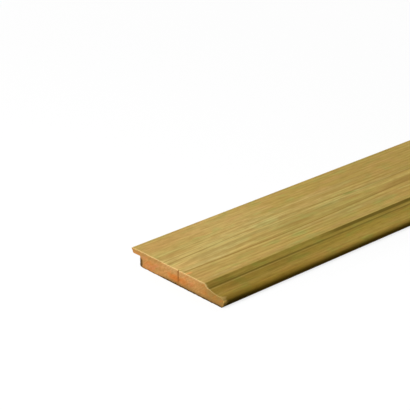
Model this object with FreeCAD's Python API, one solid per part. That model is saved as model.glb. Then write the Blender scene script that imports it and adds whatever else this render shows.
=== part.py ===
"""Shiplap weatherboard: one length of moulded softwood cladding, lying face up.

+X runs along the board, +Y across it from the tongue to the lip, and +Z out of the face.
The origin is the middle of the board's footprint, on the plane of its back.
The section is drawn from the tip of the tongue's nose, so its own y starts at 0 there.
Lengths are in millimetres.
"""
import FreeCAD, Part
import math
import os

# Overall size
BOARD_LENGTH = 1800.0
BOARD_WIDTH = 145.0
BOARD_THICKNESS = 18.0

# Lip: the front half of the lap, over a rebate that is cut in the back
LIP_REACH = 13.5
LIP_THICKNESS = 5.6
LIP_EDGE_HEIGHT = 1.2
DRIP_BEVEL_RUN = 2.1
DRIP_TOE_RADIUS = 2.5

# Tongue: the back half of the lap. Its nose is a quarter round above the tip and slopes back below.
TONGUE_REACH = 29.8
TONGUE_THICKNESS = 11.1
NOSE_TOP_RADIUS = 4.6
NOSE_UNDERCUT = 3.75

# Cove: the scooped wall that drops from the face to the tongue
COVE_RUN = 5.4
COVE_HOLLOW = 0.3

# Weathering: the tongue's front, a long shallow hollow that lets rain run out of the lap
WEATHERING_FALL = 2.9

# Quirk: the narrow groove where the cove's cutter bites below the weathering
QUIRK_WIDTH = 0.6
QUIRK_DEPTH = 0.5

# Radii along the other edges
ARRIS_RADIUS = 0.6
SHOULDER_BACK_RADIUS = 3.0

# How near a long edge has to lie to a corner of the section to be that corner's edge
CORNER_TOLERANCE = 0.01


def point(y, z):
    return FreeCAD.Vector(0, y, z)


def hollowed_arc(start, end, hollow):
    """Arc from start to end whose middle lies below the chord by hollow."""
    chord = end - start
    below = point(-chord.z, chord.y)
    below.normalize()
    return Part.Arc(start, (start + end) * 0.5 + below * hollow, end)


def leaving_arc(start, direction, end):
    """Arc that leaves start along a direction of length 1 and comes to end."""
    chord = end - start
    half_turn = direction.getAngle(chord) / 2
    to_middle = direction + chord / chord.Length
    to_middle.normalize()
    middle = start + to_middle * (chord.Length / 2 / math.cos(half_turn))
    return Part.Arc(start, middle, end)


def section_corners():
    """The corners of the section by name, before any of them is rounded."""
    shoulder = BOARD_WIDTH - LIP_REACH
    lip_underside = BOARD_THICKNESS - LIP_THICKNESS
    cove_foot = TONGUE_REACH - COVE_RUN
    weathering_top = TONGUE_THICKNESS + WEATHERING_FALL
    return {
        "shoulder_back": point(shoulder, 0),
        "shoulder_root": point(shoulder, lip_underside),
        "drip_toe": point(BOARD_WIDTH - DRIP_BEVEL_RUN, lip_underside),
        "bevel_top": point(BOARD_WIDTH, BOARD_THICKNESS - LIP_EDGE_HEIGHT),
        "lip_arris": point(BOARD_WIDTH, BOARD_THICKNESS),
        "cove_arris": point(TONGUE_REACH, BOARD_THICKNESS),
        "cove_foot": point(cove_foot, weathering_top - QUIRK_DEPTH),
        "weathering_arris": point(cove_foot - QUIRK_WIDTH, weathering_top),
        "nose_top": point(NOSE_TOP_RADIUS, TONGUE_THICKNESS),
        "nose_tip": point(0, TONGUE_THICKNESS - NOSE_TOP_RADIUS),
        "nose_back": point(NOSE_UNDERCUT, 0),
    }


def section_face(corners):
    """The closed section in the YZ plane: straight runs, with arcs for the hollows and the nose.

    The weathering runs level into the nose, and the nose is upright at its tip.
    """
    nose_top, nose_tip = corners["nose_top"], corners["nose_tip"]
    curves = {
        "cove_arris": hollowed_arc(corners["cove_arris"], corners["cove_foot"], COVE_HOLLOW),
        "weathering_arris": leaving_arc(nose_top, point(1, 0), corners["weathering_arris"]),
        "nose_top": leaving_arc(nose_tip, point(0, 1), nose_top),
        "nose_tip": leaving_arc(nose_tip, point(0, -1), corners["nose_back"]),
    }
    names = list(corners)
    edges = []
    for name, following in zip(names, names[1:] + names[:1]):
        straight = Part.LineSegment(corners[name], corners[following])
        edges.append(curves.get(name, straight).toShape())
    return Part.Face(Part.Wire(edges))


def long_edge_at(solid, corner):
    """The edge of the solid that runs the whole length through a corner of the section."""
    for edge in solid.Edges:
        ends = [vertex.Point for vertex in edge.Vertexes]
        offsets = [math.hypot(end.y - corner.y, end.z - corner.z) for end in ends]
        if len(ends) == 2 and max(offsets) < CORNER_TOLERANCE:
            return edge
    raise ValueError(f"no long edge at {corner}")


def weatherboard():
    corners = section_corners()
    board = section_face(corners).extrude(FreeCAD.Vector(BOARD_LENGTH, 0, 0))
    roundings = {
        "lip_arris": ARRIS_RADIUS,
        "cove_arris": ARRIS_RADIUS,
        "nose_back": ARRIS_RADIUS,
        "drip_toe": DRIP_TOE_RADIUS,
        "shoulder_back": SHOULDER_BACK_RADIUS,
    }
    for name, radius in roundings.items():
        board = board.makeFillet(radius, [long_edge_at(board, corners[name])])
    board.translate(FreeCAD.Vector(-BOARD_LENGTH / 2, -BOARD_WIDTH / 2, 0))
    return board


def main():
    os.makedirs("parts", exist_ok=True)
    weatherboard().exportStep("parts/weatherboard.step")


main()
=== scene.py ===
import math
from collections import namedtuple

import bmesh
import bpy
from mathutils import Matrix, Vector, noise
from mathutils.geometry import delaunay_2d_cdt
from mathutils.kdtree import KDTree


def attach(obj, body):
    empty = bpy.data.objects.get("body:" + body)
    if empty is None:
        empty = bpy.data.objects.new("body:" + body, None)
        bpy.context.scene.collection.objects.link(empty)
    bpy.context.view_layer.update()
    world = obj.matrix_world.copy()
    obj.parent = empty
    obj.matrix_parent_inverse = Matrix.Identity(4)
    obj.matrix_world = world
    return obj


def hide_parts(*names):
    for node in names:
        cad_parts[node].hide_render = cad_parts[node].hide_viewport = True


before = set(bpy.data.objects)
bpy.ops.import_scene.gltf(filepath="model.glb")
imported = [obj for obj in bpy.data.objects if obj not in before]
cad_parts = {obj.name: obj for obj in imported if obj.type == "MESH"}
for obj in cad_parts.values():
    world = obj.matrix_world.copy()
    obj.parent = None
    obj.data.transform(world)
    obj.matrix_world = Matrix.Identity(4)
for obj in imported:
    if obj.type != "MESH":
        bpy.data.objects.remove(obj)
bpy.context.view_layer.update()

MM = 0.001

# The board's section, as it is moulded. Its own y starts at the tip of the tongue's nose.
BOARD_LENGTH = 1800 * MM
BOARD_WIDTH = 145 * MM
BOARD_THICKNESS = 18 * MM
LIP_REACH = 13.5 * MM
LIP_THICKNESS = 5.6 * MM
LIP_EDGE_HEIGHT = 1.2 * MM
DRIP_BEVEL_RUN = 2.1 * MM
DRIP_TOE_RADIUS = 2.5 * MM
TONGUE_REACH = 29.8 * MM
TONGUE_THICKNESS = 11.1 * MM
NOSE_TOP_RADIUS = 4.6 * MM
NOSE_UNDERCUT = 3.75 * MM
COVE_RUN = 5.4 * MM
COVE_HOLLOW = 0.3 * MM
COVE_FOOT = TONGUE_REACH - COVE_RUN
WEATHERING_FALL = 2.9 * MM
QUIRK_WIDTH = 0.6 * MM
QUIRK_DEPTH = 0.5 * MM
ARRIS_RADIUS = 0.6 * MM
SHOULDER_BACK_RADIUS = 3 * MM

# The end that the camera sees is the one at -X
NEAR_END = -BOARD_LENGTH / 2
FAR_END = BOARD_LENGTH / 2
SECTION_START = -BOARD_WIDTH / 2

# Spacing of the mesh: along the section's straights and arcs, along the board and over its ends
FACE_PITCH = 1.1 * MM
BACK_PITCH = 3 * MM
MOULDING_PITCH = 0.5 * MM
END_GRAIN_PITCH = 1.1 * MM
FINEST_STATION = 0.12 * MM
STATION_GROWTH = 1.28
COARSEST_STATION = 9 * MM

# Wear at the sawn ends. Noise is counted in cycles to the metre, here and below.
ARRIS_WEAR = 0.4 * MM
ARRIS_WEAR_REACH = 0.35 * MM
LEAST_RAGGED = 0.15
EVEN_RAGGED = 0.6
BROAD_RAG_SHARE = 1.6
RAG_STEEPNESS = 3
FINE_RAG_CYCLES = 700
BROAD_RAG_CYCLES = 230
TORN_FIBRE_DEPTH = 0.35 * MM
TORN_FIBRE_REACH = 6 * MM
TORN_FIBRE_ACROSS = 7 * MM
TORN_FIBRE_CYCLES = (350, 900)
TORN_FIBRE_PATTERN = 5

# Chips out of the near end's top arris: place across, width and depth
CHIP_REACH = 0.9 * MM
CHIPS = (
    (67 * MM, 1.8 * MM, 0.7 * MM),
    (60 * MM, 1.2 * MM, 0.35 * MM),
    (37 * MM, 2.4 * MM, 0.4 * MM),
    (112 * MM, 1.6 * MM, 0.3 * MM),
)

# The saw's teeth crossed the end at this slant, and left marks this deep
SAW_SLANT = math.radians(35)
SAW_MARK_DEPTH = 0.14 * MM
SAW_MARK_CYCLES = (150, 700)

# The drying check that runs down the near end from the face: section y and height
CHECK_TOP = Vector((69.6 * MM, 18.8 * MM))
CHECK_FOOT = Vector((69.0 * MM, 5.5 * MM))
CHECK_REACH_AT_FACE = 2.6 * MM
CHECK_REACH_AT_FOOT = 1.0 * MM
CHECK_WIDTH = 2.4 * MM
CHECK_WIDTH_AT_FOOT = 1.4 * MM
CHECK_WANDER = 0.35 * MM
CHECK_BENDS = 5
CHECK_PATTERN = 3
CHECK_LEVELS = 12
CHECK_STAIN_ACROSS = 69.9 * MM

# The wedge that cuts the check starts this far outside the sawn end
WEDGE_OVERHANG = 1 * MM

# The tree that the board is sawn from: where its pith lies, and how it rises and falls along
PITH_ACROSS = 74.7 * MM
PITH_HEIGHT = 4.5 * MM
PITH_SWING = 2.6 * MM
PITH_SWING_LENGTH = 420 * MM
PITH_SWING_START = 40 * MM

# Its growth rings. The inner ones lie to one side and closer together, most so where the pith is high.
RING_WIDTH = 5.0 * MM
RING_WAVINESS = 1.2 * MM
BROAD_WAVE_CYCLES = (2.5, 24, 24)
SHORT_WAVE_CYCLES = (12, 70, 70)
SHORT_WAVE_SHARE = 0.6
STRONG_RING = 3
RADIANS_PER_RING = 1.9
LEAST_INNER_SHIFT = 0.8 * MM
INNER_RINGS_SHIFT = 2.0 * MM
LEAST_INNER_TIGHTER = 0.3 * MM
INNER_RINGS_TIGHTER = 1.9 * MM

# Figure of the wood: cycles along, across and up, detail and roughness
WOOD_FIGURE = {
    "Fibre": ((25, 800, 800), 2.0, 0.6),
    "Streak": ((7, 320, 320), 2.0, 0.55),
    "Fleck": ((80, 360, 360), 3.0, 0.6),
    "Blotch": ((12, 46, 46), 3.0, 0.6),
    "Tint": ((36, 100, 100), 2.0, 0.5),
}
WORN_EDGE_CYCLES = (160, 420, 420)

# How strongly blotches of the wood break up a tint's edge
TINT_RAGGEDNESS = 2.4

# How squarely a polygon of a sawn end faces along, and one of the check's walls across
END_FACING = 0.6
WALL_FACING = 0.9

# A sawn end's polygons lie no deeper than this, and edges are sharp from this angle on
END_DEPTH = 1 * MM
SHARP_FROM = math.radians(32)


def turned(direction, angle):
    """A direction in the section, turned clockwise by an angle, as angle_signed counts it."""
    c, s = math.cos(angle), math.sin(angle)
    return Vector((direction.x * c + direction.y * s, direction.y * c - direction.x * s))


def arc_through(start, middle, end, pitch):
    """Points on the circle through three points, from start to end, about a pitch apart."""
    a, b, c = start, middle, end
    twice_area = 2 * (a.x * (b.y - c.y) + b.x * (c.y - a.y) + c.x * (a.y - b.y))
    squares = [p.length_squared for p in (a, b, c)]
    centre = Vector((
        squares[0] * (b.y - c.y) + squares[1] * (c.y - a.y) + squares[2] * (a.y - b.y),
        squares[0] * (c.x - b.x) + squares[1] * (a.x - c.x) + squares[2] * (b.x - a.x),
    )) / twice_area
    first = a - centre
    sweep = first.angle_signed(c - centre)
    if (first.angle_signed(b - centre) > 0) != (sweep > 0):
        sweep -= math.copysign(math.tau, sweep)
    steps = max(2, round(abs(sweep) * first.length / pitch))
    return [centre + turned(first, sweep * i / steps) for i in range(steps + 1)]


def straight(start, end, pitch):
    steps = max(1, round((end - start).length / pitch))
    return [start.lerp(end, i / steps) for i in range(steps + 1)]


def bowed(start, end, depth):
    """Points along an arc whose middle lies off the chord by depth, to the chord's left."""
    chord = end - start
    aside = Vector((-chord.y, chord.x)).normalized()
    return arc_through(start, (start + end) / 2 + aside * depth, end, MOULDING_PITCH)


def arc_leaving(start, direction, end):
    """Points along the arc that leaves start along a direction of length 1 and comes to end."""
    chord = end - start
    half_turn = direction.angle(chord) / 2
    to_middle = (direction + chord.normalized()).normalized()
    middle = start + to_middle * (chord.length / 2 / math.cos(half_turn))
    return arc_through(start, middle, end, MOULDING_PITCH)


def trimmed(points, length):
    """A run of points with a length cut off its start."""
    for i in range(1, len(points)):
        step = (points[i] - points[i - 1]).length
        if step > length:
            return [points[i - 1].lerp(points[i], length / step)] + points[i:]
        length -= step
    raise ValueError("the side is shorter than its rounding")


def rounding(side, following, radius):
    """How far a corner's rounding reaches along its two sides, and its points up to the second one."""
    corner = side[-1]
    if not radius:
        return 0, [corner]
    arriving = (corner - side[-2]).normalized()
    leaving = (following[1] - corner).normalized()
    half_turn = arriving.angle(leaving) / 2
    reach = radius * math.tan(half_turn)
    start = trimmed(side[::-1], reach)[0]
    end = trimmed(following, reach)[0]
    to_centre = ((start + end) / 2 - corner).normalized()
    middle = corner + to_centre * (radius / math.cos(half_turn) - radius)
    return reach, arc_through(start, middle, end, min(MOULDING_PITCH, radius / 3))[:-1]


def section_outline():
    """The section as closed points, anticlockwise: sides between corners, with each corner rounded."""
    shoulder = BOARD_WIDTH - LIP_REACH
    lip_underside = BOARD_THICKNESS - LIP_THICKNESS
    weathering_top = TONGUE_THICKNESS + WEATHERING_FALL
    nose_back = Vector((NOSE_UNDERCUT, 0))
    shoulder_back = Vector((shoulder, 0))
    shoulder_root = Vector((shoulder, lip_underside))
    drip_toe = Vector((BOARD_WIDTH - DRIP_BEVEL_RUN, lip_underside))
    bevel_top = Vector((BOARD_WIDTH, BOARD_THICKNESS - LIP_EDGE_HEIGHT))
    lip_arris = Vector((BOARD_WIDTH, BOARD_THICKNESS))
    cove_arris = Vector((TONGUE_REACH, BOARD_THICKNESS))
    cove_bottom = Vector((COVE_FOOT, weathering_top - QUIRK_DEPTH))
    weathering_arris = Vector((COVE_FOOT - QUIRK_WIDTH, weathering_top))
    nose_top = Vector((NOSE_TOP_RADIUS, TONGUE_THICKNESS))
    nose_tip = Vector((0, TONGUE_THICKNESS - NOSE_TOP_RADIUS))
    # Each side comes with the radius of the corner at its end
    sides = [
        (straight(nose_back, shoulder_back, BACK_PITCH), SHOULDER_BACK_RADIUS),
        (straight(shoulder_back, shoulder_root, FACE_PITCH), 0),
        (straight(shoulder_root, drip_toe, FACE_PITCH), DRIP_TOE_RADIUS),
        (straight(drip_toe, bevel_top, MOULDING_PITCH), 0),
        (straight(bevel_top, lip_arris, MOULDING_PITCH), ARRIS_RADIUS),
        (straight(lip_arris, cove_arris, FACE_PITCH), ARRIS_RADIUS),
        (bowed(cove_arris, cove_bottom, COVE_HOLLOW), 0),
        (straight(cove_bottom, weathering_arris, MOULDING_PITCH), 0),
        (arc_leaving(nose_top, Vector((1, 0)), weathering_arris)[::-1], 0),
        (arc_leaving(nose_tip, Vector((0, 1)), nose_top)[::-1], 0),
        (arc_leaving(nose_tip, Vector((0, -1)), nose_back), ARRIS_RADIUS),
    ]
    following = sides[1:] + sides[:1]
    corners = [rounding(side, after, radius) for (side, radius), (after, _) in zip(sides, following)]
    outline = []
    for i, (points, _) in enumerate(sides):
        points = trimmed(points, corners[i - 1][0])
        points = trimmed(points[::-1], corners[i][0])[::-1]
        outline += points[:-1] + corners[i][1]
    return outline


def stations():
    """Places along the board: close together at both ends, where the wear is, and wider between."""
    from_end = [0]
    step = FINEST_STATION
    while from_end[-1] + step < BOARD_LENGTH / 2:
        from_end.append(from_end[-1] + step)
        step = min(step * STATION_GROWTH, COARSEST_STATION)
    return [NEAR_END + d for d in from_end] + [FAR_END - d for d in reversed(from_end)]


def outward_normals(outline):
    normals = []
    for i in range(len(outline)):
        along = outline[(i + 1) % len(outline)] - outline[i - 1]
        normals.append(Vector((along.y, -along.x)).normalized())
    return normals


def chip(place, across, width, depth):
    """A scallop broken out of the top arris, deepest at a place across the board."""
    if place.y < TONGUE_THICKNESS - NOSE_TOP_RADIUS:
        return 0
    return depth * math.exp(-((place.x - across) / width) ** 2)


def end_wear(x, place):
    """How far the outline is worn back near a sawn end: ragged arris, chips, torn fibres at the nose."""
    from_end = min(x - NEAR_END, FAR_END - x)
    if from_end > 3 * TORN_FIBRE_REACH:
        return 0
    spot = Vector((place.x, place.y, x * RAG_STEEPNESS))
    ragged = EVEN_RAGGED + noise.noise(spot * FINE_RAG_CYCLES)
    ragged += BROAD_RAG_SHARE * noise.noise(spot * BROAD_RAG_CYCLES)
    wear = ARRIS_WEAR * max(LEAST_RAGGED, ragged) * math.exp(-from_end / ARRIS_WEAR_REACH)
    on_nose = max(0, 1 - place.x / TORN_FIBRE_ACROSS)
    lengthwise, crosswise = TORN_FIBRE_CYCLES
    fibre_spot = Vector((x * lengthwise, place.x * crosswise, place.y * crosswise + TORN_FIBRE_PATTERN))
    fibres = max(0, noise.noise(fibre_spot))
    wear += TORN_FIBRE_DEPTH * fibres * on_nose * max(0, 1 - from_end / TORN_FIBRE_REACH)
    at_near_end = x < 0
    if at_near_end:
        broken = sum(chip(place, *measures) for measures in CHIPS)
        wear += broken * math.exp(-from_end / CHIP_REACH)
    return wear


def end_grain_places(rim):
    """Places inside a sawn end, in staggered columns that keep clear of its rim."""
    tree = KDTree(len(rim))
    for i, place in enumerate(rim):
        tree.insert(place.to_3d(), i)
    tree.balance()
    lowest_row, stagger, clear = 0.3, 0.5, 0.6
    inner = []
    for column in range(int(BOARD_WIDTH / END_GRAIN_PITCH)):
        for row in range(int(BOARD_THICKNESS / END_GRAIN_PITCH)):
            across = SECTION_START + (column + 0.5) * END_GRAIN_PITCH
            height = (row + lowest_row + stagger * (column % 2)) * END_GRAIN_PITCH
            place = Vector((across, height))
            if tree.find(place.to_3d())[2] > clear * END_GRAIN_PITCH:
                inner.append(place)
    return inner


def close_end(mesh, ring, inward):
    """Fills a sawn end with small triangles, so that the saw's marks are real hollows."""
    rim = [Vector((v.co.y, v.co.z)) for v in ring]
    x = ring[0].co.x
    sides_only = 1
    same_point = 1e-7
    places, _, triangles, sources, _, _ = delaunay_2d_cdt(
        rim + end_grain_places(rim), [], [list(range(len(rim)))], sides_only, same_point
    )
    lengthwise, between = SAW_MARK_CYCLES
    verts = []
    for place, source in zip(places, sources):
        on_rim = next((i for i in source if i < len(rim)), None)
        if on_rim is None:
            mark = turned(place, SAW_SLANT)
            mark_spot = Vector((mark.x * lengthwise, -mark.y * between, x))
            hollow = SAW_MARK_DEPTH * (0.5 + 0.5 * noise.noise(mark_spot))
            verts.append(mesh.verts.new((x + inward * hollow, place.x, place.y)))
        else:
            verts.append(ring[on_rim])
    for triangle in triangles:
        mesh.faces.new([verts[i] for i in triangle])


def object_from(mesh, name):
    bmesh.ops.recalc_face_normals(mesh, faces=mesh.faces)
    data = bpy.data.meshes.new(name)
    mesh.to_mesh(data)
    mesh.free()
    made = bpy.data.objects.new(name, data)
    bpy.context.scene.collection.objects.link(made)
    return made


def build_board():
    """The moulded section drawn along the board through its stations, with both ends sawn square."""
    outline = section_outline()
    normals = outward_normals(outline)
    mesh = bmesh.new()
    rings = []
    for x in stations():
        worn = [place - normal * end_wear(x, place) for place, normal in zip(outline, normals)]
        rings.append([mesh.verts.new((x, SECTION_START + place.x, place.y)) for place in worn])
    for ring, following in zip(rings[:-1], rings[1:]):
        for i in range(len(outline)):
            mesh.faces.new((ring[i - 1], ring[i], following[i], following[i - 1]))
    close_end(mesh, rings[0], 1)
    close_end(mesh, rings[-1], -1)
    return object_from(mesh, "weatherboard_dressed")


def check_wedge():
    """The hollow of the drying check: a thin wedge, widest and deepest at the face."""
    mesh = bmesh.new()
    upward = (CHECK_TOP - CHECK_FOOT).normalized()
    side = Vector((upward.y, -upward.x))
    rows = []
    for level in range(CHECK_LEVELS + 1):
        t = level / CHECK_LEVELS
        sway = CHECK_WANDER * noise.noise(Vector((t * CHECK_BENDS, 0, CHECK_PATTERN)))
        middle = CHECK_FOOT.lerp(CHECK_TOP, t) + side * sway
        half = (CHECK_WIDTH_AT_FOOT + (CHECK_WIDTH - CHECK_WIDTH_AT_FOOT) * t) / 2
        reach = CHECK_REACH_AT_FOOT + (CHECK_REACH_AT_FACE - CHECK_REACH_AT_FOOT) * t * t
        row = []
        for offset, x in ((-half, -WEDGE_OVERHANG), (half, -WEDGE_OVERHANG), (0, reach)):
            place = middle + side * offset
            row.append(mesh.verts.new((NEAR_END + x, SECTION_START + place.x, place.y)))
        rows.append(row)
    for row, following in zip(rows[:-1], rows[1:]):
        for i in range(3):
            mesh.faces.new((row[i - 1], row[i], following[i], following[i - 1]))
    mesh.faces.new(rows[0])
    mesh.faces.new(rows[-1])
    return object_from(mesh, "check_wedge")


def cut_check(board):
    wedge = check_wedge()
    cut = board.modifiers.new("drying_check", "BOOLEAN")
    cut.operation = "DIFFERENCE"
    cut.solver = "EXACT"
    cut.object = wedge
    bpy.context.view_layer.update()
    depsgraph = bpy.context.evaluated_depsgraph_get()
    opened = bpy.data.meshes.new_from_object(board.evaluated_get(depsgraph))
    board.modifiers.clear()
    board.data = opened
    bpy.data.objects.remove(wedge)


def inside_check(polygon):
    """Whether a polygon is a wall of the drying check, and not of the board's outside."""
    near_check = abs(polygon.center.y - SECTION_START - CHECK_TOP.x) < 2 * CHECK_WIDTH
    depth = polygon.center.x - NEAR_END
    return near_check and depth < CHECK_REACH_AT_FACE and abs(polygon.normal.y) > WALL_FACING


def dress(board, planed, sawn):
    """Planed finish on the long sides, sawn end grain on the two ends and in the check."""
    board.data.materials.clear()
    board.data.materials.append(planed)
    board.data.materials.append(sawn)
    for polygon in board.data.polygons:
        from_end = min(polygon.center.x - NEAR_END, FAR_END - polygon.center.x)
        on_end = abs(polygon.normal.x) > END_FACING and from_end < END_DEPTH
        polygon.material_index = 1 if on_end or inside_check(polygon) else 0
    board.data.shade_smooth()
    board.data.set_sharp_from_angle(angle=SHARP_FROM)


class Finish:
    """The nodes of one material or node group, placed and joined in the order that the finish is made."""

    def __init__(self, tree):
        self.nodes = tree.nodes
        self.links = tree.links

    def node(self, kind, **settings):
        made = self.nodes.new(kind)
        for name, value in settings.items():
            setattr(made, name, value)
        return made

    def plug(self, value, socket):
        """Joins a socket's value to another socket, or sets it where the value is plain."""
        if isinstance(value, bpy.types.NodeSocket):
            self.links.new(value, socket)
        else:
            socket.default_value = value

    def maths(self, operation, *values, clamp=False):
        made = self.node("ShaderNodeMath", operation=operation, use_clamp=clamp)
        for socket, value in zip(made.inputs, values):
            self.plug(value, socket)
        return made.outputs[0]

    def remap(self, value, low, high, to_low=0.0, to_high=1.0):
        """A smooth rise or fall from one range to another, level beyond both ends."""
        made = self.node("ShaderNodeMapRange", interpolation_type="SMOOTHSTEP")
        for socket, given in zip(made.inputs, (value, low, high, to_low, to_high)):
            self.plug(given, socket)
        return made.outputs[0]

    def band(self, value, start, full, fading, end):
        """1 between full and fading, 0 before start and after end."""
        return self.maths(
            "MULTIPLY", self.remap(value, start, full), self.remap(value, fading, end, 1.0, 0.0)
        )

    def blend(self, amount, first, second, how="MIX"):
        made = self.node("ShaderNodeMix", data_type="RGBA", blend_type=how)
        sockets = {socket.identifier: socket for socket in made.inputs}
        self.plug(amount, sockets["Factor_Float"])
        self.plug(first, sockets["A_Color"])
        self.plug(second, sockets["B_Color"])
        return next(s for s in made.outputs if s.identifier == "Result_Color")

    def grain_noise(self, place, cycles, detail=2.0, roughness=0.5):
        """Noise through the solid wood, with its own number of cycles to the metre along each axis."""
        scaled = self.node("ShaderNodeVectorMath", operation="MULTIPLY")
        self.plug(place, scaled.inputs[0])
        scaled.inputs[1].default_value = cycles
        made = self.node("ShaderNodeTexNoise")
        self.plug(scaled.outputs[0], made.inputs["Vector"])
        for name, value in (("Scale", 1.0), ("Detail", detail), ("Roughness", roughness)):
            made.inputs[name].default_value = value
        return made.outputs[0]

    def use(self, group, **values):
        """Places a node group, with its inputs given by name."""
        made = self.node("ShaderNodeGroup", node_tree=group)
        for name, value in values.items():
            self.plug(value, made.inputs[name.replace("_", " ")])
        return made.outputs


def new_group(name, inputs, outputs):
    """An empty node group: its finish, its input sockets and its output node."""
    group = bpy.data.node_groups.new(name, "ShaderNodeTree")
    for socket_name, kind in inputs.items():
        group.interface.new_socket(socket_name, in_out="INPUT", socket_type="NodeSocket" + kind)
    for socket_name, kind in outputs.items():
        group.interface.new_socket(socket_name, in_out="OUTPUT", socket_type="NodeSocket" + kind)
    finish = Finish(group)
    return group, finish, finish.node("NodeGroupInput").outputs, finish.node("NodeGroupOutput").inputs


def board_place_group():
    """Where a point of the wood lies: along from the near end, across from the nose, up from the back."""
    group, f, _, out = new_group("board_place", {}, {
        "Place": "Vector", "Along": "Float", "Across": "Float", "Height": "Float", "From Sawn End": "Float",
    })
    here = f.node("ShaderNodeTexCoord").outputs["Object"]
    shift = f.node("ShaderNodeVectorMath", operation="SUBTRACT")
    f.plug(here, shift.inputs[0])
    shift.inputs[1].default_value = (NEAR_END, SECTION_START, 0)
    place = shift.outputs[0]
    split = f.node("ShaderNodeSeparateXYZ")
    f.plug(place, split.inputs[0])
    f.plug(place, out["Place"])
    for axis, name in enumerate(("Along", "Across", "Height")):
        f.plug(split.outputs[axis], out[name])
    to_far_end = f.maths("SUBTRACT", BOARD_LENGTH, split.outputs[0])
    f.plug(f.maths("MINIMUM", split.outputs[0], to_far_end), out["From Sawn End"])
    return group


def growth_rings_group(place_group):
    """Rings round a pith that rises and falls along, so face, back and ends show the same tree."""
    group, f, given, out = new_group("growth_rings", {"Ring Width": "Float", "Waviness": "Float"}, {
        "Latewood": "Float", "Earlywood": "Float", "Ring Strength": "Float",
        "From Pith": "Float", "Aside": "Float",
    })
    at = f.use(place_group)
    swings = f.maths("DIVIDE", f.maths("SUBTRACT", at["Along"], PITH_SWING_START), PITH_SWING_LENGTH)
    swing = f.maths("SINE", f.maths("MULTIPLY", swings, math.tau))
    pith_height = f.maths("MULTIPLY_ADD", swing, PITH_SWING, PITH_HEIGHT)
    aside = f.maths("SUBTRACT", at["Across"], PITH_ACROSS)
    risen = f.maths("MAXIMUM", swing, 0.0)
    beside_pith = f.remap(f.maths("ABSOLUTE", aside), 5 * MM, 14 * MM, 1.0, 0.0)
    shift = f.maths("MULTIPLY_ADD", risen, INNER_RINGS_SHIFT, LEAST_INNER_SHIFT)
    aside = f.maths("SUBTRACT", aside, f.maths("MULTIPLY", beside_pith, shift))
    above = f.maths("SUBTRACT", at["Height"], pith_height)
    radius_squared = f.maths("ADD", f.maths("POWER", aside, 2.0), f.maths("POWER", above, 2.0))
    radius = f.maths("SQRT", radius_squared)
    tightness = f.maths("MULTIPLY_ADD", risen, INNER_RINGS_TIGHTER, LEAST_INNER_TIGHTER)
    among_inner_rings = f.remap(radius, 13 * MM, 17.5 * MM, 1.0, 0.0)
    radius = f.maths("MULTIPLY_ADD", among_inner_rings, tightness, radius)
    broad_wave = f.maths("SUBTRACT", f.grain_noise(at["Place"], BROAD_WAVE_CYCLES), 0.5)
    short_wave = f.maths("SUBTRACT", f.grain_noise(at["Place"], SHORT_WAVE_CYCLES), 0.5)
    wave = f.maths("MULTIPLY_ADD", short_wave, SHORT_WAVE_SHARE, broad_wave)
    radius = f.maths("MULTIPLY_ADD", wave, given["Waviness"], radius)
    years = f.maths("DIVIDE", radius, given["Ring Width"])
    part = f.maths("FRACT", years)
    late_start = f.remap(f.maths("ABSOLUTE", aside), 9 * MM, 13 * MM, 0.5, 0.6)
    f.plug(f.band(part, late_start, 0.9, 0.95, 1.0), out["Latewood"])
    f.plug(f.band(part, 0.0, 0.15, 0.25, 0.55), out["Earlywood"])
    since_strong = f.maths("SUBTRACT", f.maths("FLOOR", years), STRONG_RING)
    turn = f.maths("COSINE", f.maths("MULTIPLY", since_strong, RADIANS_PER_RING))
    f.plug(f.maths("MULTIPLY_ADD", turn, 0.5, 0.5), out["Ring Strength"])
    f.plug(radius, out["From Pith"])
    f.plug(aside, out["Aside"])
    return group


def fibre_group(place_group):
    """Fine fibres, long streaks, short flecks and broad blotches, drawn out along the board."""
    group, f, _, out = new_group("wood_fibre", {}, dict.fromkeys(WOOD_FIGURE, "Float"))
    place = f.use(place_group)["Place"]
    for name, (cycles, detail, roughness) in WOOD_FIGURE.items():
        f.plug(f.grain_noise(place, cycles, detail, roughness), out[name])
    return group


def end_wear_group(place_group):
    """Pale bruised fibres beside the sawn ends, as a ragged band that fades along the board."""
    group, f, given, out = new_group("sawn_end_wear", {"Width": "Float"}, {"Worn": "Float"})
    at = f.use(place_group)
    ragged = f.grain_noise(at["Place"], WORN_EDGE_CYCLES)
    width = f.maths("MULTIPLY", f.maths("MULTIPLY", ragged, 2.0), given["Width"])
    share = f.maths("DIVIDE", at["From Sawn End"], width)
    f.plug(f.remap(share, 0.3, 1.2, 1.0, 0.0), out["Worn"])
    return group


def stain_patch_group(place_group):
    """One soft-edged patch of other colour in the wood, round a place on the board."""
    group, f, given, out = new_group(
        "stain_patch", {"Centre": "Vector", "Reach": "Vector", "Ragged": "Float"}, {"Patch": "Float"}
    )
    from_centre = f.node("ShaderNodeVectorMath", operation="SUBTRACT")
    f.plug(f.use(place_group)["Place"], from_centre.inputs[0])
    f.plug(given["Centre"], from_centre.inputs[1])
    share = f.node("ShaderNodeVectorMath", operation="DIVIDE")
    f.plug(from_centre.outputs[0], share.inputs[0])
    f.plug(given["Reach"], share.inputs[1])
    length = f.node("ShaderNodeVectorMath", operation="LENGTH")
    f.plug(share.outputs[0], length.inputs[0])
    uneven = f.maths("SUBTRACT", given["Ragged"], 0.5)
    edge = f.maths("MULTIPLY_ADD", uneven, TINT_RAGGEDNESS, length.outputs["Value"])
    f.plug(f.remap(edge, 0.2, 1.2, 1.0, 0.0), out["Patch"])
    return group


Wood = namedtuple("Wood", "place rings fibre end_wear patch")


def new_material(name):
    material = bpy.data.materials.new(name)
    material.use_nodes = True
    finish = Finish(material.node_tree)
    return material, finish, finish.nodes["Principled BSDF"].inputs


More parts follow.
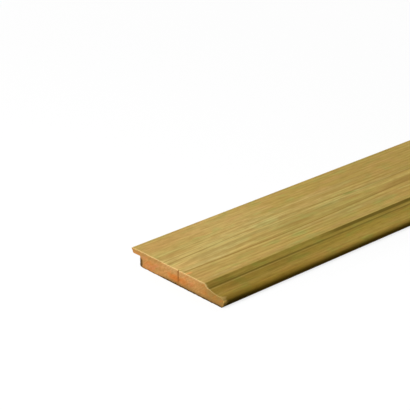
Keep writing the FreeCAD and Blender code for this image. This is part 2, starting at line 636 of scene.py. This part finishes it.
def add_relief(f, shader, height, strength, distance):
    bump = f.node("ShaderNodeBump")
    bump.inputs["Strength"].default_value = strength
    bump.inputs["Distance"].default_value = distance
    f.plug(height, bump.inputs["Height"])
    f.plug(bump.outputs[0], shader["Normal"])


# Colours of the treated timber. The stains of the cove and the tongue multiply the wood's colour.
TAN = (0.43, 0.298, 0.064, 1)
DRY_TAN = (0.48, 0.335, 0.09, 1)
PALE_TAN = (0.60, 0.47, 0.17, 1)
PALE_PINK = (0.72, 0.47, 0.20, 1)
PALE_WARM = (0.71, 0.455, 0.155, 1)
PALE_GREEN = (0.50, 0.47, 0.15, 1)
GREY_TAN = (0.34, 0.26, 0.10, 1)
OLIVE = (0.38, 0.31, 0.06, 1)
WARM = (0.50, 0.29, 0.085, 1)
ORANGE = (0.74, 0.33, 0.10, 1)
BROWN_STREAK = (0.30, 0.185, 0.035, 1)
GREEN_STREAK = (0.20, 0.21, 0.04, 1)
GREEN_BLUSH = (0.30, 0.335, 0.075, 1)
LATEWOOD = (0.25, 0.15, 0.026, 1)
EARLYWOOD = (0.58, 0.43, 0.13, 1)
COVE_STAIN_AT_END = (0.56, 0.56, 0.30, 1)
COVE_STAIN = (0.70, 0.74, 0.45, 1)
COVE_STAIN_FURTHER = (0.87, 0.90, 0.68, 1)
CLEAN = (1, 1, 1, 1)
# Lightens the stain into a painted highlight below the weathering's arris
ARRIS_HIGHLIGHT_TINT = (0.86, 0.95, 0.86, 1)
TONGUE_STAIN = (0.51, 0.48, 0.215, 1)
TONGUE_STAIN_FURTHER = (0.73, 0.73, 0.44, 1)
NOSE_STAIN = (0.50, 0.44, 0.09, 1)
# Painted shade under the tongue's nose: deepest at the sawn end, lighter further along
UNDERSIDE_SHADE_AT_END = (0.125, 0.078, 0.006, 1)
UNDERSIDE_SHADE = (0.27, 0.16, 0.012, 1)
# Painted shade in the cove: a shadow under its arris, and the crease at its foot, with some grime there
GROOVE_SHADE_AND_GRIME = (0.10, 0.067, 0.003, 1)
# Pale bruised fibres, and on the end's top arris also a painted highlight
PALE_WEAR_AND_HIGHLIGHT = (0.74, 0.50, 0.20, 1)
WORN_UNDERSIDE = (0.78, 0.47, 0.095, 1)

# How far a tint reaches into the wood, and how wide the bruised edge at a sawn end is
PATCH_DEPTH = 6 * MM
WORN_EDGE_WIDTH = 1.5 * MM

# The stain's limits wander this far along, and the painted shade under the nose eases off over this stretch
STAIN_WANDER = 60 * MM
END_STRETCH = (20 * MM, 60 * MM)

# Tints of the face: millimetres along and across, reach along and across, colour, strength
FACE_TINTS = (
    (40, 86, 150, 27, PALE_TAN, 0.5),
    (60, 77, 50, 8, PALE_TAN, 0.5),
    (110, 92, 75, 14, PALE_TAN, 0.3),
    (125, 88, 75, 4, PALE_TAN, 0.6),
    (185, 98, 100, 9, PALE_TAN, 0.4),
    (235, 108, 110, 6, PALE_TAN, 0.5),
    (320, 87, 50, 5, PALE_TAN, 0.45),
    (250, 52, 90, 6, PALE_TAN, 0.4),
    (190, 56, 50, 3, PALE_TAN, 0.5),
    (28, 66.8, 50, 4.5, PALE_TAN, 0.75),
    (105, 124, 80, 26, PALE_PINK, 0.22),
    (12, 74, 25, 11, PALE_WARM, 0.8),
    (4, 73, 7, 5, PALE_WARM, 0.6),
    (30, 35, 50, 4, GREY_TAN, 0.4),
    (200, 34, 240, 4, GREY_TAN, 0.2),
    (350, 124, 110, 24, BROWN_STREAK, 0.3),
    (175, 77, 150, 16, PALE_GREEN, 0.3),
    (245, 81, 45, 8, PALE_GREEN, 0.9),
    (130, 82, 40, 8, PALE_GREEN, 0.55),
    (142, 90, 26, 7, PALE_GREEN, 0.9),
    (75, 90, 18, 6, PALE_GREEN, 0.5),
    (35, 108, 60, 7, PALE_GREEN, 0.5),
    (215, 67, 120, 15, GREEN_BLUSH, 0.4),
    (185, 46, 50, 8, GREEN_BLUSH, 0.3),
    (270, 85, 11, 4.5, GREEN_BLUSH, 0.9),
    (120, 51, 9, 4, GREEN_BLUSH, 0.7),
    (155, 49, 12, 5, GREEN_BLUSH, 0.65),
    (278, 46, 15, 12, GREEN_BLUSH, 0.6),
    (325, 76, 60, 5, OLIVE, 0.6),
    (25, 132, 44, 14, WARM, 0.8),
    (60, 139, 20, 4, WARM, 0.5),
    (155, 139, 14, 4, WARM, 0.5),
    (92, 132, 24, 6, WARM, 0.4),
    (250, 110, 18, 6, WARM, 0.4),
    (12, 43, 16, 10, WARM, 0.55),
    (20, 55, 28, 6, WARM, 0.45),
    (3.5, 57.5, 5, 3, ORANGE, 0.8),
)

# Streaks and pale spots that lie over the growth lines, written the same way
FACE_STREAKS = (
    (182, 68.5, 42, 5, BROWN_STREAK, 0.8),
    (342, 70, 42, 7, BROWN_STREAK, 0.85),
    (190, 64, 90, 4, BROWN_STREAK, 0.2),
    (248, 65, 40, 5, BROWN_STREAK, 0.4),
    (228, 79, 20, 2.6, GREEN_STREAK, 0.5),
    (270, 85, 9, 3.5, GREEN_STREAK, 0.3),
    (40, 66.3, 34, 4.3, PALE_TAN, 0.9),
    (142, 90, 22, 4.5, PALE_GREEN, 0.8),
)


def add_tints(f, patch_group, ragged, colour, height, tints):
    """Lays patches of other colours over the wood."""
    for along, across, reach_along, reach_across, shade, strength in tints:
        patch = f.use(
            patch_group, Centre=(along * MM, across * MM, height),
            Reach=(reach_along * MM, reach_across * MM, PATCH_DEPTH), Ragged=ragged,
        )["Patch"]
        colour = f.blend(f.maths("MULTIPLY", patch, strength), colour, shade)
    return colour


def less(f, value, share):
    """A value with a share of it taken away."""
    return f.maths("MULTIPLY", value, f.maths("SUBTRACT", 1.0, share))


def treated_ground(f, at, ring, grain):
    """The wood between its growth lines: tan, drier near the ends, with olive and warm blotches."""
    aside = f.maths("ABSOLUTE", ring["Aside"])
    from_end = f.maths("MULTIPLY_ADD", grain["Blotch"], 90 * MM, at["From Sawn End"])
    colour = f.blend(f.remap(from_end, 60 * MM, 260 * MM, 1.0, 0.0), TAN, DRY_TAN)
    beside_heart = f.remap(aside, 10 * MM, 40 * MM, 0.8, 0.4)
    olive = f.maths("MULTIPLY", f.remap(grain["Blotch"], 0.5, 0.3), beside_heart)
    colour = f.blend(olive, colour, OLIVE)
    colour = f.blend(f.remap(grain["Blotch"], 0.52, 0.72, 0.0, 0.55), colour, WARM)
    colour = f.blend(f.remap(grain["Tint"], 0.48, 0.3, 0.0, 0.55), colour, GREEN_BLUSH)
    return f.blend(f.remap(grain["Tint"], 0.52, 0.7, 0.0, 0.55), colour, WARM)


def add_growth_lines(f, at, ring, heart_side, colour):
    """Dark late wood and pale early wood, weaker over the pith, away from it and beside the cove."""
    aside = f.maths("ABSOLUTE", ring["Aside"])
    beside_cove = f.band(at["Across"], 38 * MM, 44 * MM, 54 * MM, 57.5 * MM)
    plain = f.maths("MULTIPLY", beside_cove, f.remap(at["Along"], 60 * MM, 160 * MM, 0.6, 0.2))

    towards_lip = f.remap(ring["Aside"], -10 * MM, 10 * MM, 1.0, 0.8)
    over_pith = f.band(ring["Aside"], -9 * MM, -6.5 * MM, -2 * MM, 0.0)
    towards_lip = f.maths("MULTIPLY", towards_lip, f.maths("MULTIPLY_ADD", over_pith, -0.6, 1.0))
    strength = f.maths("MULTIPLY_ADD", ring["Ring Strength"], 0.8, 0.15)
    late = f.maths("MULTIPLY", ring["Latewood"], strength)
    late = f.maths("MULTIPLY", f.maths("MULTIPLY", late, towards_lip), heart_side)
    colour = f.blend(less(f, late, plain), colour, LATEWOOD)

    strength = f.maths("MULTIPLY_ADD", ring["Ring Strength"], 0.25, 0.48)
    early = f.maths("MULTIPLY", ring["Earlywood"], strength)
    early = f.maths("MULTIPLY", early, f.remap(aside, 1 * MM, 4 * MM, 0.5, 1.0))
    heart_on_tongue_side = f.band(ring["Aside"], -15 * MM, -13 * MM, -4 * MM, 0.0)
    further_on = f.remap(at["Along"], 90 * MM, 170 * MM, 0.0, 0.8)
    early = less(f, early, f.maths("MULTIPLY", heart_on_tongue_side, further_on))
    early = f.maths("MULTIPLY", early, f.remap(ring["From Pith"], 28 * MM, 31 * MM, 1.0, 0.35))
    return f.blend(less(f, early, plain), colour, EARLYWOOD)


def add_fibres(f, grain, heart_side, colour):
    """Thin dark streaks, flecks and fibres over the growth lines."""
    streak = f.maths("MULTIPLY", f.remap(grain["Streak"], 0.36, 0.66, 0.0, 0.42), heart_side)
    colour = f.blend(streak, colour, LATEWOOD)
    colour = f.blend(f.remap(grain["Fleck"], 0.4, 0.7, 0.0, 0.38), colour, LATEWOOD)
    return f.blend(f.remap(grain["Fibre"], 0.3, 0.7, 0.0, 0.25), colour, LATEWOOD)


def weathering_stain(f, at, further):
    """Stain on the tongue's front: browner beside the nose, with a cleaner strip and a painted highlight
    line below the weathering's arris.
    """
    beside_nose = f.remap(at["Across"], 7 * MM, 13 * MM, 1.0, 0.0)
    stain = f.blend(beside_nose, TONGUE_STAIN, NOSE_STAIN)
    stain = f.blend(further, stain, TONGUE_STAIN_FURTHER)
    cleaner = f.remap(at["Across"], 6 * MM, 9 * MM, 0.14, 0.22)
    cleaner = f.maths("MULTIPLY", cleaner, f.remap(at["Across"], 11.5 * MM, 14 * MM, 1.0, 0.0))
    stain = f.blend(cleaner, stain, CLEAN)
    # Painted highlight below the weathering's arris, fading further along
    painted_highlight_line = f.band(
        at["Across"], COVE_FOOT - 4 * MM, COVE_FOOT - 3.2 * MM, COVE_FOOT - 2.2 * MM, COVE_FOOT - 1.6 * MM
    )
    return f.blend(f.maths("MULTIPLY", less(f, painted_highlight_line, further), 0.42), stain, ARRIS_HIGHLIGHT_TINT)


def cove_stain(f, at, further):
    """Stain on the cove: deepest at the sawn end, apart from the cove's upper half."""
    stain = f.blend(f.remap(at["Along"], 20 * MM, 45 * MM), COVE_STAIN_AT_END, COVE_STAIN)
    upper = f.remap(at["Across"], COVE_FOOT + 2.2 * MM, COVE_FOOT + 3.6 * MM)
    upper = f.maths("MULTIPLY", upper, f.remap(at["Along"], 12 * MM, 26 * MM, 0.7, 0.0))
    stain = f.blend(upper, stain, COVE_STAIN)
    return f.blend(further, stain, COVE_STAIN_FURTHER)


def add_lap_stain(f, at, grain, colour):
    """The preservative that gathered on the cove and the tongue, strongest near the end."""
    wandering = f.maths("MULTIPLY_ADD", grain["Blotch"], STAIN_WANDER, at["Along"])
    further = f.remap(wandering, 80 * MM, 270 * MM)
    on_cove = f.remap(at["Across"], COVE_FOOT, COVE_FOOT + 1 * MM)
    stain = f.blend(on_cove, weathering_stain(f, at, further), cove_stain(f, at, further))
    on_tongue = f.remap(at["Across"], TONGUE_REACH - 0.4 * MM, TONGUE_REACH + 0.2 * MM, 1.0, 0.0)
    beside_arris = f.remap(at["Across"], TONGUE_REACH, TONGUE_REACH + 7 * MM, 0.45, 0.0)
    return f.blend(f.maths("MAXIMUM", on_tongue, beside_arris), colour, stain, "MULTIPLY")


def add_nose_shade(f, at, colour):
    """Painted shade under the nose, darkest near the end, where it also lies on the nose's round."""
    on_nose = f.band(at["Across"], -1 * MM, 0, 2 * MM, 5 * MM)
    sunk_at_end = f.remap(at["Along"], *END_STRETCH, -1.2 * MM, 0.0)
    height = f.maths("ADD", at["Height"], sunk_at_end)
    under_nose = f.maths("MULTIPLY", on_nose, f.remap(height, 6 * MM, 8.9 * MM, 0.9, 0.0))
    at_end = f.maths(
        "MULTIPLY", f.remap(at["Across"], 3.5 * MM, 6 * MM, 1.0, 0.0),
        f.remap(at["Along"], 25 * MM, 60 * MM, 0.42, 0.0),
    )
    # Painted shade, darkest near the end, under the nose and on its round
    underside_shade = f.blend(f.remap(at["Along"], *END_STRETCH), UNDERSIDE_SHADE_AT_END, UNDERSIDE_SHADE)
    return f.blend(f.maths("MAXIMUM", under_nose, at_end), colour, underside_shade)


def add_groove_shade_and_grime(f, at, grain, colour):
    """Dark lines painted in the cove: a painted shadow under its arris further along, and painted crease
    shade, with some grime, at its foot.
    """
    outside = f.remap(at["Height"], 10 * MM, 12 * MM)
    arris = TONGUE_REACH
    # Painted shadow under the cove's arris
    under_arris = f.band(at["Across"], arris - 3.1 * MM, arris - 2 * MM, arris - 0.5 * MM, arris + 0.8 * MM)
    wandering = f.maths("MULTIPLY_ADD", grain["Blotch"], STAIN_WANDER, at["Along"])
    further = f.remap(wandering, 180 * MM, 235 * MM, 0.03, 0.74)
    under_arris = f.maths("MULTIPLY", under_arris, further)
    colour = f.blend(f.maths("MULTIPLY", under_arris, outside), colour, GROOVE_SHADE_AND_GRIME)

    # Painted crease shade, with some grime, at the cove's foot
    foot = COVE_FOOT
    at_foot = f.band(at["Across"], foot - 2.3 * MM, foot - 1.3 * MM, foot + 0.1 * MM, foot + 1.2 * MM)
    at_foot = f.maths("MULTIPLY", at_foot, f.remap(at["Along"], 80 * MM, 220 * MM, 0.8, 0.55))
    over_foot = f.band(at["Across"], foot, foot + 0.8 * MM, foot + 1.6 * MM, foot + 2.6 * MM)
    over_foot = f.maths("MULTIPLY", over_foot, f.remap(at["Along"], 45 * MM, 75 * MM, 0.25, 0.0))
    at_foot = f.maths("MAXIMUM", at_foot, over_foot)
    return f.blend(f.maths("MULTIPLY", at_foot, outside), colour, GROOVE_SHADE_AND_GRIME)


def add_bruised_fibres(f, at, end_wear, colour):
    """Pale bruised fibres at the sawn ends: broader on the nose and in the cove, browner under the tip."""
    near_nose = f.remap(at["Across"], 3 * MM, 10 * MM, 3.8, 1.0)
    in_cove = f.band(at["Across"], 24 * MM, 25.5 * MM, 28 * MM, 30 * MM)
    broader = f.maths("MULTIPLY_ADD", in_cove, 0.7, near_nose)
    worn = f.use(end_wear, Width=f.maths("MULTIPLY", broader, WORN_EDGE_WIDTH))["Worn"]
    under_tip = f.maths(
        "MULTIPLY", f.remap(at["Across"], 2 * MM, 4 * MM, 0.9, 0.0),
        f.remap(at["Height"], 8 * MM, 10 * MM, 1.0, 0.0),
    )
    bruised = f.maths("MAXIMUM", f.remap(at["Across"], 9 * MM, 30 * MM, 0.24, 0.7), under_tip)
    worn_colour = f.blend(under_tip, PALE_WEAR_AND_HIGHLIGHT, WORN_UNDERSIDE)
    return f.blend(f.maths("MULTIPLY", worn, bruised), colour, worn_colour)


def planed_softwood(wood):
    """Planed and pressure treated: tan with olive and warm tints, and darker down on the tongue."""
    material, f, shader = new_material("planed_treated_softwood")
    at = f.use(wood.place)
    ring = f.use(wood.rings, Ring_Width=RING_WIDTH, Waviness=RING_WAVINESS)
    grain = f.use(wood.fibre)
    heart_side = f.remap(f.maths("ABSOLUTE", ring["Aside"]), 24 * MM, 42 * MM, 1.0, 0.25)

    colour = treated_ground(f, at, ring, grain)
    colour = add_tints(f, wood.patch, grain["Blotch"], colour, BOARD_THICKNESS, FACE_TINTS)
    colour = add_growth_lines(f, at, ring, heart_side, colour)
    colour = add_tints(f, wood.patch, grain["Blotch"], colour, BOARD_THICKNESS, FACE_STREAKS)
    colour = add_fibres(f, grain, heart_side, colour)
    colour = add_lap_stain(f, at, grain, colour)
    colour = add_nose_shade(f, at, colour)
    colour = add_groove_shade_and_grime(f, at, grain, colour)
    colour = add_bruised_fibres(f, at, wood.end_wear, colour)
    f.plug(colour, shader["Base Color"])
    f.plug(f.remap(grain["Fibre"], 0.2, 0.8, 0.62, 0.78), shader["Roughness"])
    f.plug(f.remap(at["Height"], 6 * MM, 10 * MM, 0.02, 0.12), shader["Specular IOR Level"])
    ridges = f.maths("MULTIPLY_ADD", ring["Latewood"], 0.6, grain["Fibre"])
    add_relief(f, shader, ridges, 0.35, 0.15 * MM)
    return material


# Colours of the sawn end
END_GRAIN = (0.73, 0.355, 0.11, 1)
END_HEART = (0.76, 0.22, 0.035, 1)
END_DULL = (0.415, 0.25, 0.064, 1)
END_LOW = (0.32, 0.17, 0.045, 1)
END_PINK = (0.74, 0.32, 0.14, 1)
END_LATE = (0.40, 0.17, 0.035, 1)
# Painted shade with some dirt: along the end's lower edge and in the corner under the lip
END_SHADE_AND_DIRT = (0.07, 0.04, 0.01, 1)
CHECK_WALL = (0.46, 0.20, 0.045, 1)
CHECK_STAIN = (0.34, 0.115, 0.016, 1)

# Figure of the end grain, in cycles along, across and up
PORE_CYCLES = (700, 700, 700)
END_BLOTCH_CYCLES = (100, 45, 170)
DARK_EDGE_CYCLES = (300, 300, 300)

# Tints of the near end: millimetres across and up, reach across and up, colour, strength
END_TINTS = (
    (79, 7.5, 9, 6, END_HEART, 0.8),
    (72, 8.5, 6, 5, END_HEART, 0.7),
    (62, 7.5, 8, 6, END_HEART, 0.7),
    (112, 7, 11, 6, END_HEART, 0.5),
    (104, 9.5, 7, 4, END_PINK, 0.5),
    (113, 5.5, 13, 3.5, END_PINK, 0.5),
    (28, 7.5, 7, 4, END_HEART, 0.35),
    (50, 9.5, 4, 3, END_PINK, 0.5),
    (52, 4.5, 15, 5, END_LOW, 0.4),
    (74, 14.5, 30, 4.5, PALE_WEAR_AND_HIGHLIGHT, 0.4),
    (126, 13.5, 5, 3, END_PINK, 0.6),
    (137, 15, 6, 4, END_HEART, 0.3),
)


def add_end_shading(f, at, blotch, colour):
    """Duller above the lip's side, deeper towards the back, and pale worn fibres along the top, with a
    painted highlight on the top arris.
    """
    above = f.remap(at["Height"], 12 * MM, 15.5 * MM)
    upper = f.maths("MULTIPLY", above, f.remap(at["Across"], 88 * MM, 102 * MM))
    colour = f.blend(f.maths("MULTIPLY", upper, 0.35), colour, END_DULL)
    low = f.remap(f.maths("MULTIPLY_ADD", blotch, 4 * MM, at["Height"]), 3.5 * MM, 8 * MM, 0.8, 0.0)
    low = f.maths("MULTIPLY", low, f.remap(at["Across"], 85 * MM, 104 * MM, 1.0, 0.15))
    colour = f.blend(low, colour, END_LOW)
    # Pale worn fibres with a painted highlight along the end's top arris
    top = f.remap(at["Height"], BOARD_THICKNESS - 2.2 * MM, BOARD_THICKNESS - 0.8 * MM)
    top = f.maths("MULTIPLY", top, f.remap(at["Across"], 92 * MM, 104 * MM, 0.6, 0.2))
    return f.blend(f.maths("MULTIPLY", top, f.remap(blotch, 0.35, 0.6)), colour, PALE_WEAR_AND_HIGHLIGHT)


def add_end_shade_and_dirt(f, at, blotch, colour):
    """Darker along the end's lower edge, as painted contact shade with some dirt, and in the corner under
    the lip, as a painted shadow of the next board with some dirt.
    """
    # Painted contact shade, with some dirt, along the lower edge
    dark_edge_height = f.remap(at["Across"], 85 * MM, 110 * MM, 3.3 * MM, 2.5 * MM)
    dark_edge_breakup = f.grain_noise(at["Place"], DARK_EDGE_CYCLES, 3.0, 0.7)
    dark_edge = f.maths("MULTIPLY_ADD", dark_edge_breakup, 3 * MM, at["Height"])
    dark_edge = f.remap(f.maths("SUBTRACT", dark_edge, dark_edge_height), -1 * MM, 0.8 * MM, 0.95, 0.0)
    colour = f.blend(dark_edge, colour, END_SHADE_AND_DIRT)
    # Painted shadow of the next board, with some dirt, in the corner under the lip
    in_notch = f.maths("MULTIPLY_ADD", blotch, 5 * MM, at["Across"])
    in_notch = f.remap(in_notch, 127.5 * MM, 132.5 * MM, 0.0, 0.9)
    in_notch = f.maths("MULTIPLY", in_notch, f.remap(at["Height"], 8 * MM, 13 * MM, 1.0, 0.0))
    return f.blend(in_notch, colour, END_SHADE_AND_DIRT)


def add_check_stain(f, at, colour):
    """Darker wood on both sides of the near end's drying check, and on the walls inside it."""
    from_check = f.maths("ABSOLUTE", f.maths("SUBTRACT", at["Across"], CHECK_STAIN_ACROSS))
    beside = f.remap(from_check, 0.5 * MM, 2.8 * MM, 0.5, 0.0)
    beside = f.maths("MULTIPLY", beside, f.remap(at["Along"], 20 * MM, 40 * MM, 1.0, 0.0))
    beside = f.maths("MULTIPLY", beside, f.remap(at["Height"], 16.6 * MM, 17.6 * MM, 1.0, 0.3))
    colour = f.blend(beside, colour, CHECK_STAIN)
    within = f.remap(at["From Sawn End"], 0.3 * MM, 1.2 * MM, 0.0, 0.9)
    return f.blend(within, colour, CHECK_WALL)


def sawn_end_grain(wood):
    """End grain: orange heart round the pith, duller towards the tongue, with pores and saw marks."""
    material, f, shader = new_material("sawn_end_grain")
    at = f.use(wood.place)
    ring = f.use(wood.rings, Ring_Width=RING_WIDTH, Waviness=RING_WAVINESS)
    grain = f.use(wood.fibre)
    slanted = f.node("ShaderNodeVectorRotate", rotation_type="X_AXIS")
    f.plug(at["Place"], slanted.inputs["Vector"])
    slanted.inputs["Angle"].default_value = SAW_SLANT
    saw_marks = f.grain_noise(slanted.outputs[0], (100, *SAW_MARK_CYCLES), 3.0, 0.6)
    speckle = f.grain_noise(at["Place"], PORE_CYCLES, 2.0, 0.6)
    blotch = f.grain_noise(slanted.outputs[0], END_BLOTCH_CYCLES, 3.0, 0.55)

    colour = f.blend(f.remap(at["Across"], 14 * MM, 50 * MM, 1.0, 0.0), END_GRAIN, END_DULL)
    for across, height, reach_across, reach_up, shade, strength in END_TINTS:
        patch = f.use(
            wood.patch, Centre=(0, across * MM, height * MM),
            Reach=(PATCH_DEPTH, reach_across * MM, reach_up * MM), Ragged=blotch,
        )["Patch"]
        colour = f.blend(f.maths("MULTIPLY", patch, strength), colour, shade)
    ring_strength = f.maths("MULTIPLY_ADD", ring["Ring Strength"], 0.15, 0.08)
    colour = f.blend(f.maths("MULTIPLY", ring["Latewood"], ring_strength), colour, END_LATE)
    colour = f.blend(f.remap(blotch, 0.5, 0.3, 0.0, 0.4), colour, END_HEART)
    colour = f.blend(f.remap(blotch, 0.5, 0.7, 0.0, 0.4), colour, END_DULL)
    colour = f.blend(f.remap(saw_marks, 0.42, 0.66, 0.0, 0.4), colour, END_LATE)
    colour = f.blend(f.remap(speckle, 0.45, 0.7, 0.0, 0.15), colour, END_LATE)
    colour = add_end_shading(f, at, blotch, colour)
    colour = add_end_shade_and_dirt(f, at, blotch, colour)
    colour = add_check_stain(f, at, colour)
    f.plug(colour, shader["Base Color"])
    f.plug(f.remap(grain["Fibre"], 0.2, 0.8, 0.75, 0.9), shader["Roughness"])
    shader["Specular IOR Level"].default_value = 0.12
    add_relief(f, shader, f.maths("MULTIPLY_ADD", speckle, 0.6, saw_marks), 0.5, 0.2 * MM)
    return material


# The studio, in metres and watts. What the camera sees of floor and room is pale or white, while
# scattered light meets a dark floor and a dim room, so that the softboxes alone shape the board.
FLOOR_HALF_SIDE = 30
FLOOR_PALE = (0.95, 0.95, 0.95, 1)
FLOOR_UNSEEN = (0.06, 0.06, 0.06, 1)
GLOW_START = 1.5
GLOW_FULL = 3.5
GLOW_UNDER_BOARD = 0.8
ROOM_LIGHT = 0.12

# Softboxes: name, place, aim, width and power
SOFTBOXES = (
    ("key_softbox", (NEAR_END - 1.6, -0.25, 1.75), (NEAR_END + 0.1, 0, 0), 1.0, 68),
    ("far_softbox", (1.0, 0.3, 1.5), (0.7, 0, 0), 1.2, 14),
    ("lip_softbox", (-0.2, 2.4, 0.9), (-0.3, 0, 0), 1.0, 18),
)

# The camera: metres, degrees, and millimetres of lens and sensor
CAMERA_PLACE = (-1.8384, -1.1075, 0.7447)
CAMERA_TURN = (65.735, 0.685, -41.787)
CAMERA_LENS = 138.27
CAMERA_SENSOR = 36
CAMERA_SEES_TO = 100


def seen_or_mirrored(f):
    """1 for rays from the camera and those that gloss or glass sends on, 0 for light that scatters."""
    light_path = f.node("ShaderNodeLightPath").outputs
    seen = f.maths("ADD", light_path["Is Camera Ray"], light_path["Is Glossy Ray"])
    return f.maths("ADD", seen, light_path["Is Transmission Ray"], clamp=True)


def build_floor():
    """A pale matt floor that turns to plain white away from the board."""
    mesh = bmesh.new()
    bmesh.ops.create_grid(mesh, x_segments=2, y_segments=2, size=FLOOR_HALF_SIDE)
    floor = object_from(mesh, "floor")
    material = bpy.data.materials.new("pale_floor")
    material.use_nodes = True
    f = Finish(material.node_tree)
    f.nodes.clear()
    seen = seen_or_mirrored(f)
    matt = f.node("ShaderNodeBsdfDiffuse")
    f.plug(f.blend(seen, FLOOR_UNSEEN, FLOOR_PALE), matt.inputs["Color"])
    glow = f.node("ShaderNodeEmission")
    glow.inputs["Strength"].default_value = 1.0
    away = f.node("ShaderNodeVectorMath", operation="LENGTH")
    f.plug(f.node("ShaderNodeTexCoord").outputs["Object"], away.inputs[0])
    glowing = f.remap(away.outputs["Value"], GLOW_START, GLOW_FULL, GLOW_UNDER_BOARD, 1.0)
    mix = f.node("ShaderNodeMixShader")
    share = f.maths("MULTIPLY", glowing, seen)
    for socket, value in zip(mix.inputs, (share, matt.outputs[0], glow.outputs[0])):
        f.plug(value, socket)
    f.plug(mix.outputs[0], f.node("ShaderNodeOutputMaterial").inputs["Surface"])
    floor.data.materials.append(material)


def build_world():
    world = bpy.data.worlds.new("studio")
    world.use_nodes = True
    bpy.context.scene.world = world
    f = Finish(world.node_tree)
    f.nodes.clear()
    dim = f.node("ShaderNodeBackground")
    dim.inputs["Strength"].default_value = ROOM_LIGHT
    white = f.node("ShaderNodeBackground")
    white.inputs["Strength"].default_value = 1.0
    for background in (dim, white):
        background.inputs["Color"].default_value = (1, 1, 1, 1)
    mix = f.node("ShaderNodeMixShader")
    for socket, value in zip(mix.inputs, (seen_or_mirrored(f), dim.outputs[0], white.outputs[0])):
        f.plug(value, socket)
    f.plug(mix.outputs[0], f.node("ShaderNodeOutputWorld").inputs["Surface"])


def light_studio():
    for name, place, aim, width, watts in SOFTBOXES:
        lamp = bpy.data.lights.new(name, "AREA")
        lamp.shape = "DISK"
        lamp.size = width
        lamp.energy = watts
        softbox = bpy.data.objects.new(name, lamp)
        bpy.context.scene.collection.objects.link(softbox)
        softbox.location = place
        softbox.rotation_euler = (Vector(aim) - Vector(place)).to_track_quat("-Z", "Y").to_euler()


def place_camera():
    camera_data = bpy.data.cameras.new("camera")
    camera_data.sensor_width = CAMERA_SENSOR
    camera_data.lens = CAMERA_LENS
    camera_data.clip_end = CAMERA_SEES_TO
    camera = bpy.data.objects.new("camera", camera_data)
    bpy.context.scene.collection.objects.link(camera)
    camera.location = CAMERA_PLACE
    camera.rotation_euler = [math.radians(angle) for angle in CAMERA_TURN]
    bpy.context.scene.camera = camera


place_camera()
light_studio()
build_world()
build_floor()
bpy.context.scene.view_settings.view_transform = "Standard"

board = build_board()
cut_check(board)
place_group = board_place_group()
wood = Wood(
    place_group, growth_rings_group(place_group), fibre_group(place_group),
    end_wear_group(place_group), stain_patch_group(place_group),
)
dress(board, planed_softwood(wood), sawn_end_grain(wood))
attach(board, "root")
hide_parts("weatherboard")
